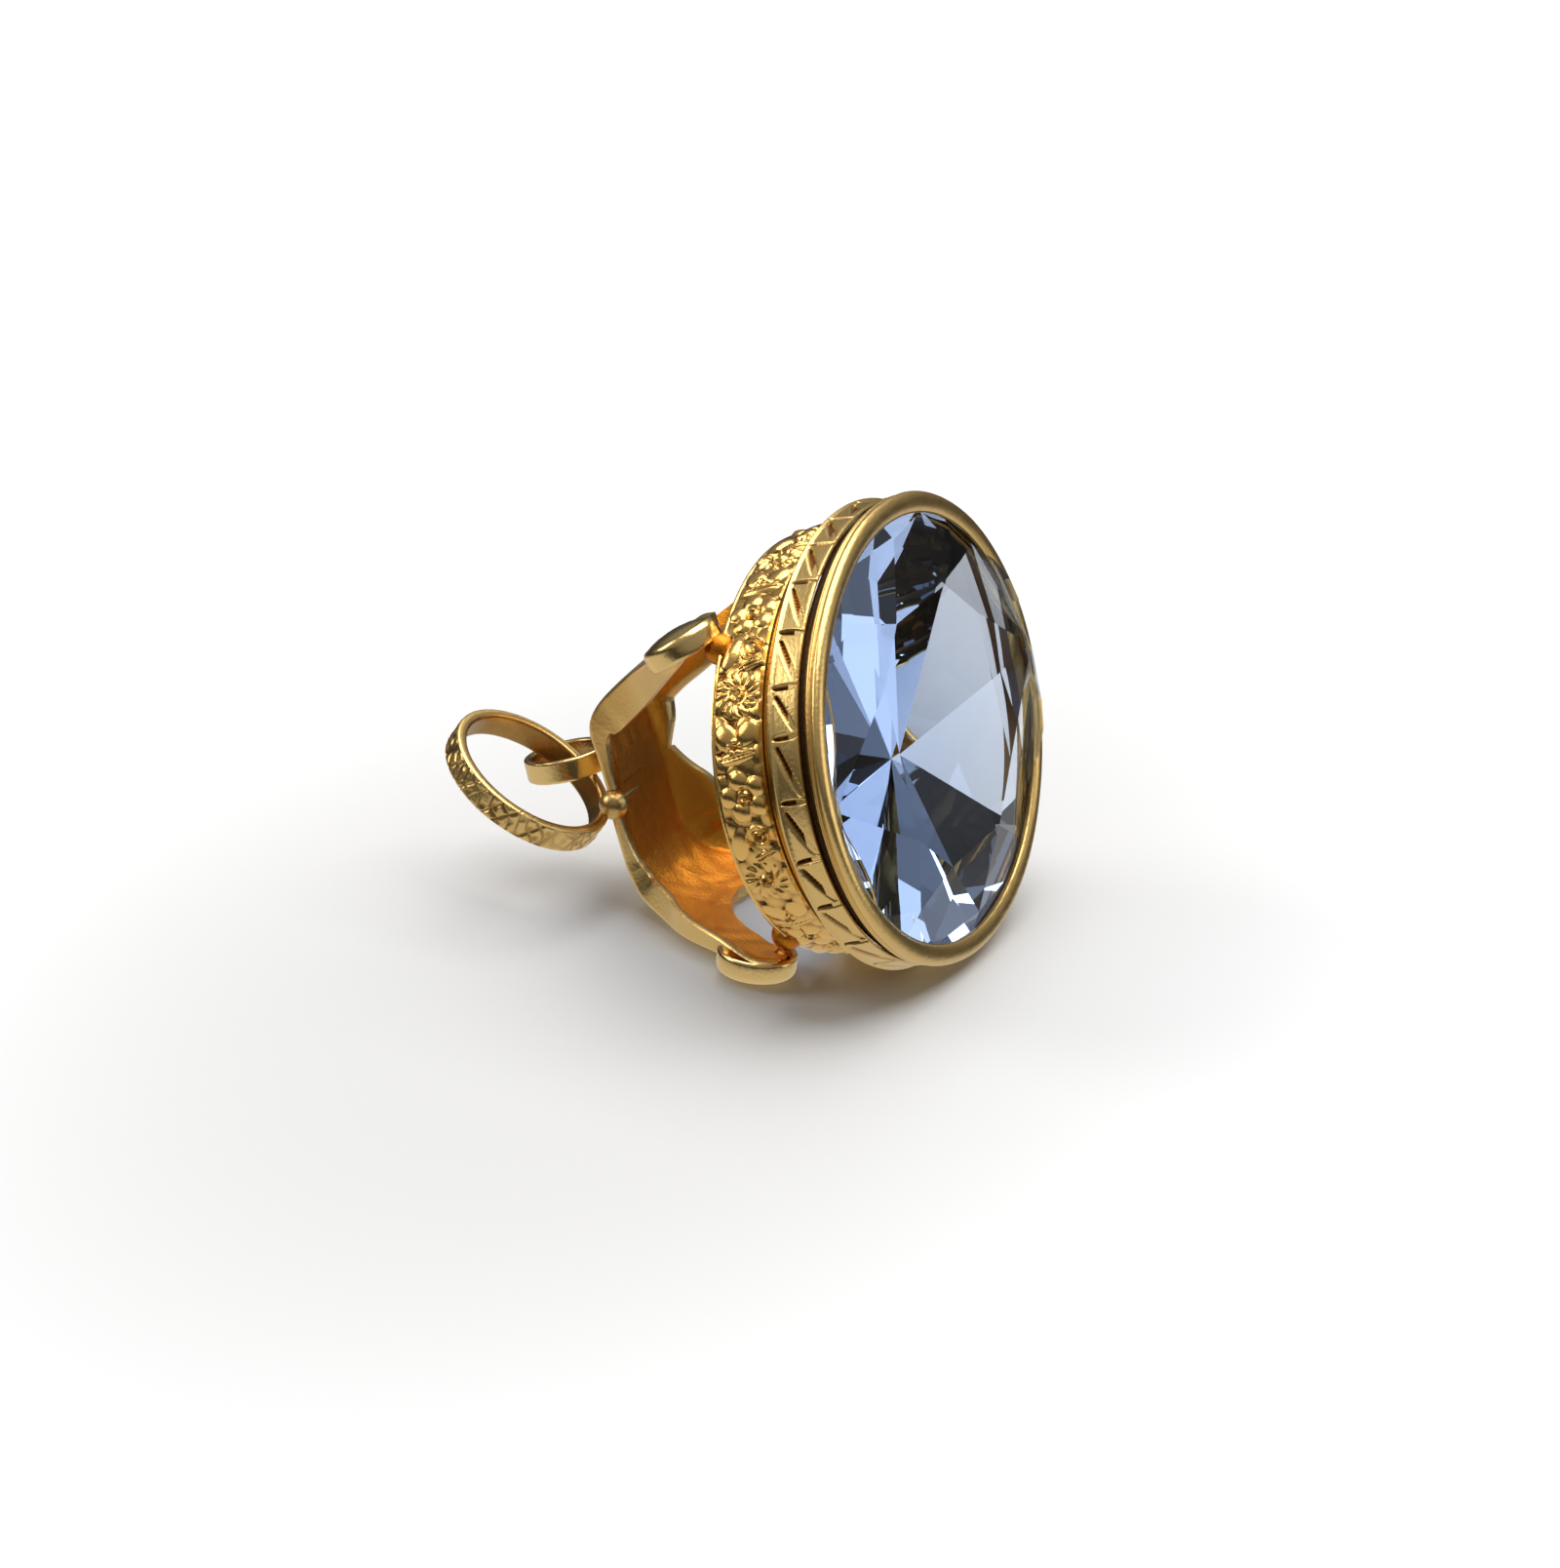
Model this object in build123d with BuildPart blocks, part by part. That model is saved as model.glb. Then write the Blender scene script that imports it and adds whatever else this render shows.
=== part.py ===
from build123d import *
import os
from math import atan, cos, radians, sin, sqrt, tan

os.makedirs("parts", exist_ok=True)

# An antique fob pendant: an oval stone in a bezel cup, carried by a yoke of two hollow straps,
# with a small fixed loop on the yoke's crown and a loose ring in that loop.
# The jewel is drawn in its own frame first, with +Z towards the stone's face, +Y across the short
# way of the oval and +X along the long way. Depths are counted backwards from the lip's front plane.
# At the end it is laid on the surface that it rests on, with +Z up.

# Stone
stone_long = 20.0
stone_short = 16.0
crown_rise = 0.9
girdle_height = 0.3
pavilion_depth = 6.3

# Bezel cup
seat_gap = 0.06
lip_lap = 0.10
lip_height = 0.25
lip_swell = 0.72
cup_depth = 4.86
gallery_step = 0.33
gallery_wall = 0.62

# Yoke
yoke_drop = 0.25
crown_depth = 12.8
foot_depth = 6.65
foot_spread = 6.25
foot_stand = 1.195
lobe_radius = 1.5
strap_thick = 1.6
skin = 0.5
crown_half_width = 2.75
arch_half_width = 4.65
arch_reach = 2.95
arch_sink = 1.75
flare = 1.15
crown_gap_radius = 0.8
crown_gap_sink = 1.35
cross_pin_radius = 0.5
cross_pin_half = 3.0
cross_pin_sink = 0.55
cross_pin_drop = 0.55
solder_radius = 0.6
solder_step = 0.09

# Fixed loop and bail ring
loop_hole_radius = 1.34
loop_wall = 0.32
loop_height = 0.88
loop_stem = 0.81
stem_half_width = 0.45
loop_rise = 0.4
ring_radius = 3.36
ring_thick = 0.44
ring_width = 1.02
ring_slide = 0.03
ring_facing = Vector(-0.003, 0.668, 0.744).normalized()
ring_side = Vector(-0.992, 0.09, -0.085)

# Worked out from the sizes above
half_long = stone_long / 2
half_short = stone_short / 2
stone_ratio = stone_long / stone_short
girdle_top = lip_height + seat_gap * 2
girdle_foot = girdle_top + girdle_height
gallery_long = half_long - gallery_step
gallery_short = half_short - gallery_step
seat_ledge = gallery_step + gallery_wall
past_all = stone_long


def oval_height(across, long_half, short_half):
    """Half height of an oval at a distance across from its middle."""
    return short_half * sqrt(max(0.0, 1 - (across / long_half) ** 2))


# Stone: a plain oval blank that loses one flat facet after another, as a cutter makes it.
# Rows: what the facets are, how many, first angle, share of the half width at their outer end,
# height of that end above the girdle's middle, slope of the facet in degrees across the short way.
facet_rows = [
    ("crown mains", 8, 0.0, 1.00, girdle_height / 2, 12.5),
    ("crown breaks", 16, 11.25, 1.00, girdle_height / 2, 17.5),
    ("stars", 8, 22.5, 0.79, girdle_height / 2 + crown_rise * 0.62, 8.5),
    ("pavilion mains", 8, 0.0, 1.00, -girdle_height / 2, -38.0),
    ("pavilion breaks", 16, 11.25, 1.00, -girdle_height / 2, -43.0),
]
girdle_middle = (girdle_top + girdle_foot) / 2


def facet_plane(angle, share, height, slope):
    """Cutting plane of one facet of the stone, its normal pointing out of the stone."""
    reach = half_short * share
    outward = Vector(cos(radians(angle)), sin(radians(angle)), 0)
    lean = radians(abs(slope))
    up = 1 if slope > 0 else -1
    normal = Vector(outward.X * sin(lean) / stone_ratio, outward.Y * sin(lean), up * cos(lean))
    foot = Vector(outward.X * reach * stone_ratio, outward.Y * reach, height - girdle_middle)
    return Plane(origin=foot, z_dir=normal)


with BuildPart() as stone:
    with BuildSketch(Plane.XY.offset(-girdle_foot - pavilion_depth)):
        Ellipse(half_long, half_short)
    extrude(amount=pavilion_depth + girdle_height + crown_rise)
    for name, count, first, share, height, slope in facet_rows:
        for step in range(count):
            split(bisect_by=facet_plane(first + step * 360 / count, share, height, slope), keep=Keep.BOTTOM)

# Bezel cup, outside: depth as a share of cup_depth, swell beyond the stone as a share of lip_swell
outer_sections = [
    (0.000, 0.35),
    (0.018, 0.82),
    (0.050, 1.00),
    (0.070, 0.92),
    (0.080, 0.80),
    (0.092, 0.93),
    (0.110, 0.93),
    (0.122, 0.72),
    (0.190, 0.62),
    (0.200, 0.84),
    (0.402, 0.84),
    (0.412, 0.95),
    (0.428, 0.80),
    (0.470, 0.00),
]

# Bezel cup, inside the lip: depth and swell of the stone's pocket and of the sloped seat under it
seat_slope = tan(radians(-facet_rows[-1][-1]))
inner_sections = [
    (lip_height, seat_gap),
    (girdle_foot + seat_gap * 2, seat_gap),
    (girdle_foot + seat_gap * 3 + seat_ledge * seat_slope, -seat_ledge),
]


def oval(depth, swell):
    """Oval outline at a depth, grown outwards from the stone's edge by swell."""
    with BuildSketch(Plane.XY.offset(-depth)) as outline:
        Ellipse(half_long + swell, half_short + swell)
    return outline.sketch


with BuildPart() as cup:
    for depth_share, swell_share in outer_sections:
        add(oval(cup_depth * depth_share, lip_swell * swell_share))
    loft(ruled=True)
    add(oval(cup_depth * outer_sections[-1][0], -gallery_step))
    extrude(amount=-cup_depth * (1 - outer_sections[-1][0]))

with BuildPart() as hollow:
    for depth, swell in inner_sections:
        add(oval(depth, swell))
    loft(ruled=True)
    add(oval(0, -lip_lap))
    extrude(amount=-lip_height)
    add(oval(inner_sections[-1][0], -seat_ledge))
    extrude(amount=-(cup_depth - inner_sections[-1][0]))

# Yoke strap, side view: share of the way from the feet's ends to the crown, share of the foot's height
foot_height = oval_height(foot_spread, gallery_long, gallery_short) + foot_stand
strap_end = foot_depth - lobe_radius
strap_run = crown_depth - strap_end
strap_side = [
    (1.000, 0.000),
    (0.997, 0.184),
    (0.977, 0.354),
    (0.935, 0.467),
    (0.865, 0.564),
    (0.723, 0.700),
    (0.419, 0.850),
    (0.213, 0.950),
    (0.097, 1.000),
    (0.013, 1.000),
]
# Yoke strap, seen along +Y: depth as a share of crown_depth, half width as a share of foot_spread
strap_width = [
    (0.988, 0.451),
    (0.890, 0.540),
    (0.765, 0.720),
    (0.662, 0.900),
    (0.592, 1.040),
]
yoke_side = Plane(origin=(0, -yoke_drop, 0), x_dir=(0, 1, 0), z_dir=(1, 0, 0))
yoke_middle = Plane(origin=(0, -yoke_drop, 0), x_dir=(1, 0, 0), z_dir=(0, -1, 0))
strap_curve = Spline(
    *[(foot_height * high, -strap_end - strap_run * deep) for deep, high in strap_side],
    tangents=[(1, 0), (0, 1)],
)


def inset(amount):
    """Points of the strap's side curve moved inwards, towards the jewel's middle, by amount."""
    points = []
    for step in range(13):
        place = strap_curve @ (step / 12)
        way = strap_curve % (step / 12)
        points.append((place.X - way.Y * amount, place.Y + way.X * amount))
    points[0] = (0, points[0][1])
    return points


def strap_profile(outer, inner):
    """Side view of the strap's sheet between two insets from its outer curve."""
    with BuildSketch(yoke_side) as side:
        with BuildLine():
            outside = Spline(*inset(outer))
            inside = Spline(*inset(inner))
            Line(outside @ 0, inside @ 0)
            Line(outside @ 1, inside @ 1)
        make_face()
    return side.sketch


def strap_outline(border):
    """Outline of one strap seen along +Y, drawn in by border: flared sides that end in two lobes."""
    crown_end = -crown_depth - skin * 2
    foot_x = foot_spread - border
    right = [(foot_spread * wide - border * flare, -crown_depth * deep) for deep, wide in strap_width]
    left = [(-across, down) for across, down in reversed(right)]
    crown_x = crown_half_width - border
    feet = [(foot_x, -foot_depth), (-foot_x, -foot_depth)]
    with BuildSketch(yoke_middle) as plan:
        with BuildLine():
            Polyline((crown_x, crown_end), *right, *feet, *left, (-crown_x, crown_end), close=True)
        make_face()
        with Locations((foot_spread, -foot_depth), (-foot_spread, -foot_depth)):
            Circle(lobe_radius - border)
    return plan.sketch


def half_yoke(border, outer, inner):
    """One strap's body: its outline drawn in by border, between two insets from the side curve."""
    with BuildPart() as body:
        add(strap_outline(border))
        extrude(amount=past_all, dir=(0, 1, 0))
        add(strap_profile(outer, inner))
        extrude(amount=past_all, dir=(1, 0, 0), both=True, mode=Mode.INTERSECT)
    return body.part


# Yoke: two sheet straps with turned-in edges, hollow between them, each with an arch between its feet
with BuildPart() as yoke:
    add(half_yoke(0, 0, strap_thick))
    add(half_yoke(skin, skin, strap_thick + skin), mode=Mode.SUBTRACT)
    with BuildSketch(yoke_middle):
        with Locations((0, -foot_depth + arch_sink)):
            Ellipse(arch_half_width, arch_reach + arch_sink)
    extrude(amount=past_all, dir=(0, 1, 0), mode=Mode.SUBTRACT)
    mirror(about=yoke_middle)

# Setting: cup, yoke, cross pin, solder at the feet and fixed loop are one piece of soldered metal
foot_meet = oval_height(foot_spread, gallery_long - gallery_wall / 2, gallery_short - gallery_wall / 2)
solder_depth = cup_depth + solder_step
solder_spots = [(x, y, -solder_depth) for x in (-foot_spread, foot_spread) for y in (-foot_meet, foot_meet)]
loop_outer = loop_hole_radius + loop_wall
loop_depth = crown_depth + loop_stem + loop_outer
loop_plane = Plane(origin=(0, loop_rise, -loop_depth), x_dir=(1, 0, 0), z_dir=(0, 1, 0))
across = Plane.YZ.location.orientation

with BuildPart() as setting:
    add(cup.part)
    add(hollow.part, mode=Mode.SUBTRACT)
    add(yoke.part)
    with Locations(Location((0, -yoke_drop, crown_gap_sink - crown_depth), across)):
        Cylinder(crown_gap_radius, past_all, mode=Mode.SUBTRACT)
    with Locations(Location((0, -yoke_drop - cross_pin_drop, cross_pin_sink - crown_depth), across)):
        Cylinder(cross_pin_radius, cross_pin_half * 2)
    with Locations(*solder_spots):
        Sphere(solder_radius)
    with BuildSketch(loop_plane):
        Circle(loop_outer)
        with Locations((0, -(loop_depth - crown_depth + skin) / 2)):
            Rectangle(stem_half_width * 2, loop_depth - crown_depth + skin)
    extrude(amount=loop_height / 2, both=True)
    with BuildSketch(loop_plane):
        Circle(loop_hole_radius)
    extrude(amount=loop_height / 2, both=True, mode=Mode.SUBTRACT)

# How the jewel lies: on the cup's lower edge and on the lower strap's feet, tilted until both touch
cup_points = [(half_short + lip_swell * swell, cup_depth * deep) for deep, swell in outer_sections]
cup_points.append((gallery_short, cup_depth))
strap_points = [strap_curve @ (step / 60) for step in range(61)]
foot_points = [(point.X + yoke_drop, -point.Y) for point in strap_points]


def lowest(points, angle):
    """The lowest of some (downward reach, depth) points once the jewel is tilted by an angle."""
    return max(points, key=lambda point: point[0] * cos(angle) + point[1] * sin(angle))


tilt = 0.0
for attempt in range(8):
    edge = lowest(cup_points, tilt)
    foot = lowest(foot_points, tilt)
    tilt = atan((edge[0] - foot[0]) / (foot[1] - edge[1]))

# Bail ring: it hangs on the fixed loop's side bar, leaning as it was left, and has slid along by ring_slide
ring_middle = ring_radius - ring_thick / 2
loop_centre = Vector(0, loop_rise, -loop_depth)
ring_out = (ring_side - ring_facing * ring_side.dot(ring_facing)).normalized()
ring_centre = loop_centre + ring_out * (ring_middle + ring_slide)

with BuildPart() as bail_ring:
    with BuildSketch(Plane(origin=ring_centre, z_dir=ring_facing)):
        Circle(ring_radius)
        Circle(ring_middle - ring_thick / 2, mode=Mode.SUBTRACT)
    extrude(amount=ring_width / 2, both=True)

# Lay the jewel on the surface: +Z up, origin under the middle of the box around it
facing = Vector(cos(tilt), 0, sin(tilt))
lie = Plane(origin=(0, 0, 0), x_dir=(0, 1, 0), z_dir=facing).location
box = Compound([lie * stone.part, lie * setting.part, lie * bail_ring.part]).bounding_box()
rest = Location((-box.center().X, -box.center().Y, -box.min.Z)) * lie
stone.part.locate(rest)
setting.part.locate(rest)
bail_ring.part.locate(rest)

stone.part.label = "stone"
setting.part.label = "setting"
bail_ring.part.label = "bail_ring"
export_step(stone.part, "parts/stone.step")
export_step(setting.part, "parts/setting.step")
export_step(bail_ring.part, "parts/bail_ring.step")
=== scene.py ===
# %% [markdown]
# This lesson dresses one jewel, an antique fob pendant, on top of its measured solids.
# The solids come in as a fixed frame. Each visible part of the gold work is then drawn again
# as a surface worked out with numpy, and every surface gets a finish built from shader nodes.

# %% Load the measured solids
import bmesh
import bpy
import numpy as np
from mathutils import Matrix, Vector


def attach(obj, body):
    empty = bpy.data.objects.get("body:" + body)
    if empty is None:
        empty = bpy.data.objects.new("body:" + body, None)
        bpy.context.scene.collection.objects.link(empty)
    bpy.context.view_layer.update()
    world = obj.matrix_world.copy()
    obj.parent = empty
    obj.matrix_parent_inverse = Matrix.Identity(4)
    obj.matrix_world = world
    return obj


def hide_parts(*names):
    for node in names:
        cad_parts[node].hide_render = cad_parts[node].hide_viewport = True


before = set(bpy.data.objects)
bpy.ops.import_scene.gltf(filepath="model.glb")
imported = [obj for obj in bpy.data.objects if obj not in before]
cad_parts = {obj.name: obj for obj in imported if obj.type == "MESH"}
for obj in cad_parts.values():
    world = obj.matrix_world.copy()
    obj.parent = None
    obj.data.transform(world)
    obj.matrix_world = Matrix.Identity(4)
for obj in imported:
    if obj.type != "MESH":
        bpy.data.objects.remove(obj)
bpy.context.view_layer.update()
print("solids:", sorted(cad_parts))

# %% [markdown]
# The jewel lies tilted, so its rings and straps are easier to describe in directions of its own:
# x along the long way of the oval, y across the short way, and s, the depth behind the lip.
# One could also model it upright and turn the finished object, but a finished piece has to sit
# at the origin unturned. So each point is turned when it is worked out.

# %% The jewel's own directions
tilt = np.radians(19.449)
face_centre = np.array([7.6482, 0.0, 8.8557])
along = np.array([0.0, 1.0, 0.0])
skyward = np.array([-np.sin(tilt), 0.0, np.cos(tilt)])
facing = np.array([np.cos(tilt), 0.0, np.sin(tilt)])
half_long = 10.0
half_short = 8.0
cup_depth = 4.86
dice = np.random.default_rng(7)


def placed(x, y, s):
    """Row point in metres = (face centre + x * along + y * skyward - s * facing) / 1000."""
    x, y, s = np.broadcast_arrays(x, y, s)
    spot = face_centre + x[..., None] * along + y[..., None] * skyward - s[..., None] * facing
    return spot / 1000.0


print("lowest point of the lip above the floor, mm:", placed(0.0, -8.72, 0.24)[2] * 1000)

# %% [markdown]
# Nearly all of this jewel is bent sheet, so one helper serves for all of it: it takes a grid of
# points and joins each point to its neighbours. A closed section carried round a closed path is a
# ring, and a section that shrinks to a point at both ends is a bead. Blender's own primitives
# could start these shapes too, but then the relief could not follow the metal so exactly.

# %% A grid of points becomes faces
def grid_faces(points, close_rows, close_columns, poles):
    """Quad (i, j) joins points (i, j), (i+1, j), (i+1, j+1) and (i, j+1), counted round where closed.
    An open end gets a cap, unless it is a pole. The sum of p0 . ((p2 - p0) x (p3 - p1)) / 6 over the
    quads is the volume, and where it is negative every face is turned round to point outwards."""
    rows, columns = points.shape[:2]
    i = np.arange(rows if close_rows else rows - 1)
    j = np.arange(columns if close_columns else columns - 1)
    i, j = np.meshgrid(i, j, indexing="ij")
    i2, j2 = (i + 1) % rows, (j + 1) % columns
    quads = np.stack([i * columns + j, i2 * columns + j, i2 * columns + j2, i * columns + j2], -1)
    spots = points.reshape(-1, 3)
    faces = quads.reshape(-1, 4)
    a, b, c, d = (spots[faces[:, k]] for k in range(4))
    volume = (a * np.cross(c - a, d - b)).sum() / 6
    if volume < 0:
        faces = faces[:, ::-1]
    face_list = faces.tolist()
    if not close_columns and not poles:
        ring = np.arange(rows)
        for column, turn in ((0, 1), (columns - 1, -1)):
            cap = (ring * columns + column)[:: turn * (1 if volume < 0 else -1)]
            face_list.append(cap.tolist())
    if not close_rows:
        ring = np.arange(columns)
        for row, turn in ((0, 1), (rows - 1, -1)):
            cap = (row * columns + ring)[:: turn * (-1 if volume < 0 else 1)]
            face_list.append(cap.tolist())
    return face_list, volume


# %% [markdown]
# The faces then go into a mesh, with its marks for the finishes. The first and last ring of a bead
# have shrunk to one point each, so those points are merged; otherwise the bead would have tiny
# holes at its ends. Edges that turn by more than a set angle stay crisp.

# %% Faces become a piece
def merge_poles(mesh):
    """Points that share a place become one, so that a bead's two ends are closed."""
    work = bmesh.new()
    work.from_mesh(mesh)
    bmesh.ops.remove_doubles(work, verts=work.verts, dist=1e-7)
    work.to_mesh(mesh)
    work.free()


def surface(name, points, finish, marks=None, close_rows=True, close_columns=True, poles=False, sharp=40):
    """The mesh of a (rows, columns, 3) grid of points in metres, with marks as numbers on its points."""
    face_list, volume = grid_faces(points, close_rows, close_columns, poles)
    mesh = bpy.data.meshes.new(name)
    mesh.from_pydata(points.reshape(-1, 3).tolist(), [], face_list)
    mesh.polygons.foreach_set("use_smooth", np.ones(len(mesh.polygons), bool))
    for mark, values in (marks or {}).items():
        layer = mesh.attributes.new(mark, "FLOAT", "POINT")
        every = np.broadcast_to(values, points.shape[:2])
        layer.data.foreach_set("value", every.ravel().astype(np.float32))
    if poles:
        merge_poles(mesh)
    mesh.set_sharp_from_angle(angle=np.radians(sharp))
    mesh.materials.append(finish)
    piece = bpy.data.objects.new(name, mesh)
    bpy.context.scene.collection.objects.link(piece)
    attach(piece, "root")
    print(f"{name}: {len(mesh.polygons)} faces, {abs(volume) * 1e9:.2f} mm3")
    return piece


def gold_piece(piece, node="setting"):
    """The piece stands for its solid, whose own mesh is hidden."""
    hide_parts(node)
    return piece


# %% [markdown]
# Where the inner side of a sheet lies in shade, its faces get a second, darker gold as painted shade;
# inside the straps that gold is orange, a painted reflection of the gold round them. Two materials on one
# mesh do this more crisply than a mix in the shader, because the border then follows the faces.

# %% A painted-shade gold on part of a piece
def paint_inside_shade(piece, second):
    """Faces whose first corner has the inside mark above 0.7 get the second material, a gold painted as
    shade.
    """
    mesh = piece.data
    mesh.materials.append(second)
    value = np.zeros(len(mesh.vertices), np.float32)
    mesh.attributes["inside"].data.foreach_get("value", value)
    corners = np.zeros(len(mesh.loops), np.int32)
    mesh.loops.foreach_get("vertex_index", corners)
    starts = np.zeros(len(mesh.polygons), np.int32)
    mesh.polygons.foreach_get("loop_start", starts)
    is_inside = value[corners[starts]] > 0.7
    mesh.polygons.foreach_set("material_index", is_inside.astype(np.int32))
    print(f"{piece.name}: {is_inside.sum()} faces in {second.name}")


# %% [markdown]
# The metal is yellow gold of about 14 carat. It is polished on the lobes, stem and fixed loop, and
# satin on the lip, the cut band, the straps' outsides and the loose ring. Inside the straps it is painted
# orange-brown, a painted reflection of the gold round it and painted shade, and behind the stone it is
# painted dark brown as shade. A metallic Principled shader gives all of them. The patterns read Object
# coordinates, in metres: a noise scale of 405 makes clouds of about 2.5 mm, and one of 8100 makes grain
# of an eighth of a millimetre. A mark on the points, 1 deep in a cut, steers the colour: it darkens
# cuts, grooves and hollows, partly as painted shade and partly as dirt.

# %% Making a node
def add_node(tree, kind, **sockets):
    """A new node of the kind, with each named socket set; an underscore stands for a space."""
    node = tree.nodes.new(kind)
    for socket, value in sockets.items():
        node.inputs[socket.replace("_", " ")].default_value = value
    return node


def new_material(name):
    """An empty material with nodes: the material, its tree and its Principled shader."""
    material = bpy.data.materials.new(name)
    material.use_nodes = True
    return material, material.node_tree, material.node_tree.nodes["Principled BSDF"]


# %% [markdown]
# The five golds differ only in colour, roughness and grain, so one recipe makes them all. Painting a
# picture for each piece would fix the wear to one size; noise in the shader stays sharp close up.

# %% The gold finishes
def gold(name, colour, deep, rough, rough_spread, bump, streak=1.0):
    """Colour = colour mixed to deep by the point mark for painted shade and dirt plus half the clouds, read
    from 0.3 to 1.25; roughness = rough + grain * rough_spread; bump height = grain, stretched by streak
    along y."""
    material, tree, shader = new_material(name)
    shader.inputs["Metallic"].default_value = 1.0
    where = add_node(tree, "ShaderNodeTexCoord")
    stretch = add_node(tree, "ShaderNodeMapping", Scale=(1.0, streak, 1.0))
    cloud = add_node(tree, "ShaderNodeTexNoise", Scale=405.0, Detail=4.0)
    grain = add_node(tree, "ShaderNodeTexNoise", Scale=8100.0, Detail=3.0)
    # Painted shade: this mark darkens the colour towards deep in cuts, grooves and hollows, with some dirt.
    dirt_and_shade = add_node(tree, "ShaderNodeAttribute")
    dirt_and_shade.attribute_name = "dirt_and_shade"
    patchy = add_node(tree, "ShaderNodeMath")
    patchy.operation = "MULTIPLY_ADD"
    patchy.inputs[1].default_value = 0.5
    share = add_node(tree, "ShaderNodeMapRange", From_Min=0.3, From_Max=1.25)
    mix = add_node(tree, "ShaderNodeMix")
    mix.data_type = "RGBA"
    mix.inputs["A"].default_value = (*colour, 1.0)
    mix.inputs["B"].default_value = (*deep, 1.0)
    worn = add_node(tree, "ShaderNodeMapRange", To_Min=rough, To_Max=rough + rough_spread)
    dent = add_node(tree, "ShaderNodeBump", Strength=bump, Distance=0.00003)
    join = tree.links.new
    join(where.outputs["Object"], stretch.inputs["Vector"])
    join(where.outputs["Object"], cloud.inputs["Vector"])
    join(stretch.outputs["Vector"], grain.inputs["Vector"])
    join(cloud.outputs["Fac"], patchy.inputs[0])
    join(dirt_and_shade.outputs["Fac"], patchy.inputs[2])
    join(patchy.outputs[0], share.inputs["Value"])
    join(share.outputs["Result"], mix.inputs["Factor"])
    join(mix.outputs["Result"], shader.inputs["Base Color"])
    join(grain.outputs["Fac"], worn.inputs["Value"])
    join(worn.outputs["Result"], shader.inputs["Roughness"])
    join(grain.outputs["Fac"], dent.inputs["Height"])
    join(dent.outputs["Normal"], shader.inputs["Normal"])
    return material


polished_gold = gold("polished_gold", (0.92, 0.64, 0.25), (0.22, 0.07, 0.01), 0.16, 0.12, 0.25)
satin_gold = gold("satin_gold", (0.83, 0.56, 0.20), (0.18, 0.06, 0.008), 0.24, 0.14, 0.5, streak=0.25)
chased_gold = gold("chased_gold", (0.88, 0.54, 0.16), (0.12, 0.035, 0.005), 0.17, 0.10, 0.3)
# Inside the straps this orange gold and its dark deep colour are a painted reflection of the gold round
# them and painted shade; on the solder it is the solder's own reddish colour.
orange_gold = gold("orange_gold", (0.96, 0.36, 0.03), (0.34, 0.09, 0.006), 0.30, 0.22, 0.8)
# A dark brown gold painted as shade, for the lip's back, the cove under the band and the wall behind the
# stone.
shaded_gold = gold("shaded_gold", (0.19, 0.105, 0.04), (0.05, 0.025, 0.01), 0.42, 0.2, 0.6)
print("finishes:", [m.name for m in (polished_gold, satin_gold, chased_gold, orange_gold, shaded_gold)])

# %% [markdown]
# The cup is built up of bands, as the goldsmith did it: a rolled lip that holds the stone, two fine
# wires, a flat band with cut triangles, and behind it a wall chased with flowers. Every band is a
# closed section carried round the oval. Steps of equal length round the oval keep the relief even,
# so the angles are looked up from the running length of the outline.

# %% Steps of equal length round the oval
def even_angles(count, swell):
    """Angles t whose points ((a+w) cos t, (b+w) sin t) lie at equal distances along the oval."""
    fine = np.linspace(0, 2 * np.pi, 20001)
    x = (half_long + swell) * np.cos(fine)
    y = (half_short + swell) * np.sin(fine)
    length = np.concatenate([[0], np.cumsum(np.hypot(np.diff(x), np.diff(y)))])
    return np.interp(np.arange(count) / count * length[-1], length, fine), length[-1]


def carried(angles, swell, depth):
    """Section carried round the oval: x = (a+w) cos t, y = (b+w) sin t, s = depth."""
    turn = angles[:, None]
    return placed((half_long + swell) * np.cos(turn), (half_short + swell) * np.sin(turn), depth)


def section(keys, count):
    """Evenly spaced points along a closed outline of (swell, depth) keys."""
    keys = np.array(list(keys) + [keys[0]], float)
    run = np.concatenate([[0], np.cumsum(np.hypot(*np.diff(keys, axis=0).T))])
    at = np.arange(count) / count * run[-1]
    return np.interp(at, run, keys[:, 0]), np.interp(at, run, keys[:, 1])


print("once round the stone, mm:", round(float(even_angles(8, 0.0)[1]), 2))

# %% [markdown]
# The lip is a rolled edge: half round in section, pressed over the stone's girdle. Behind it run two
# thin wires and a groove, painted brown as shade. The lip's back, under the band and behind the stone,
# takes the dark gold as painted shade. A bevel on a plain ring would come out too even, so the lip's
# outline wanders by a hundredth of a millimetre or two, as a lip that is pressed down by hand does.

# %% Lip, wires and groove
roll = np.radians(np.arange(-80, 91, 10)) + 0.35
lip_keys = [(0.31 + 0.41 * np.sin(r), 0.24 - 0.24 * np.cos(r)) for r in roll]
lip_keys += [(0.60, 0.40), (0.655, 0.43), (0.67, 0.46), (0.655, 0.49), (0.61, 0.505)]
lip_keys += [(0.655, 0.52), (0.67, 0.55), (0.65, 0.58), (0.56, 0.605), (0.42, 0.64), (0.36, 0.80)]
lip_keys += [(0.36, 1.05), (0.07, 1.05), (0.07, 0.24), (-0.09, 0.22), (-0.10, 0.10)]
band_line = 0.6
lip_turns = even_angles(900, band_line)[0]
lip_swell, lip_depth = section(lip_keys, 96)
wander = 0.012 * np.sin(lip_turns * 5 + 1)[:, None] + 0.008 * np.sin(lip_turns * 11)[:, None]
outside = lip_swell > 0.2
lip_grid = carried(lip_turns, lip_swell + wander * outside, lip_depth)
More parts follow.
